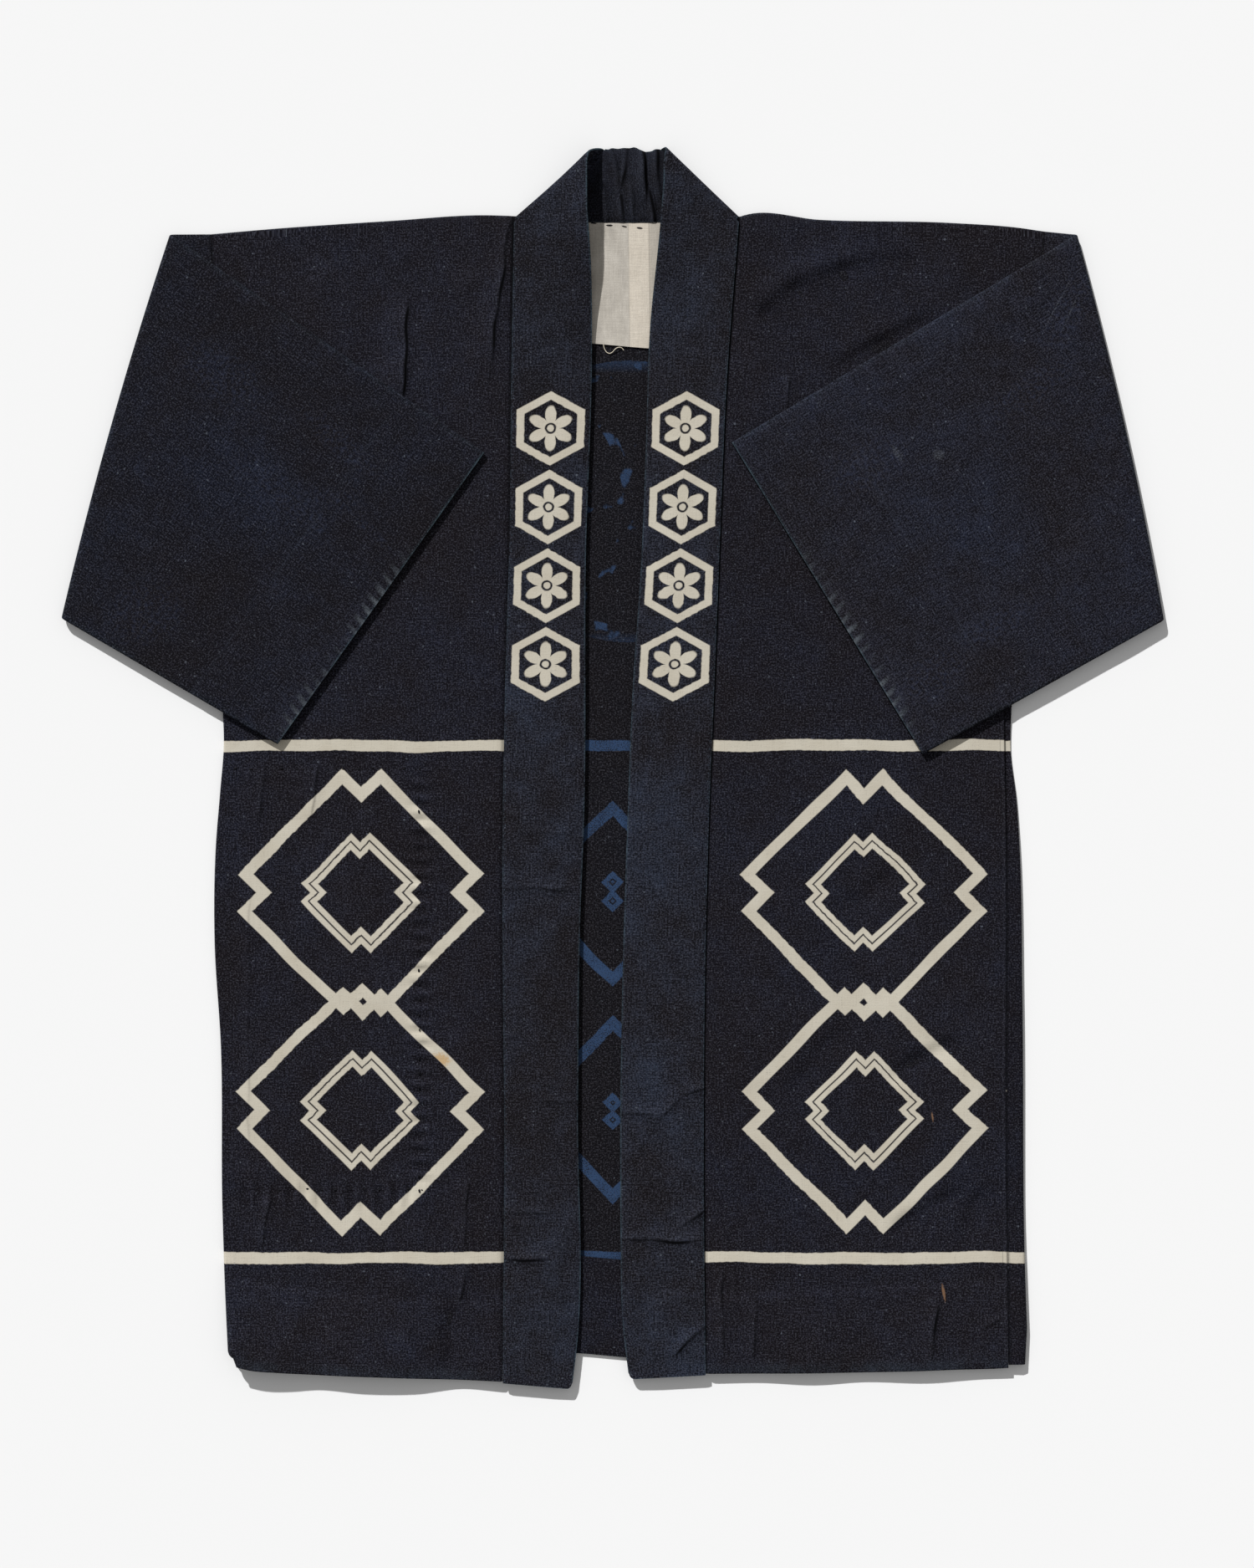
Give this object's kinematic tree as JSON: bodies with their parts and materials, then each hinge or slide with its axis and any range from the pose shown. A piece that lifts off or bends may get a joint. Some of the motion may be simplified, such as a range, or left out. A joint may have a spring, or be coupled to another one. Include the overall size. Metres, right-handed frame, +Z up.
{
  "type": "happi coat",
  "caption": "Japanese indigo cotton work coat with a straight collar band, lying flat and open down the front, both sleeves folded forward over the fronts.",
  "frame": {"origin": "middle of the laid-out coat, on the surface that it lies on", "axes": "+Z up from the surface, +Y up the back towards the neck, +X towards the wearer's left sleeve, which is the viewer's right"},
  "size_m": [0.8487, 0.9563, 0.0182],
  "materials": {
    "indigo_body": "matt",
    "indigo_sleeve": "matt",
    "indigo_band": "matt",
    "undyed_cotton": "matt"
  },
  "bodies": {
    "root": {"body_right": "indigo_body", "body_left": "indigo_body", "sleeve_right": "indigo_sleeve", "sleeve_left": "indigo_sleeve", "collar": "indigo_band", "neck_patch": "undyed_cotton"}
  },
  "joints": []
}
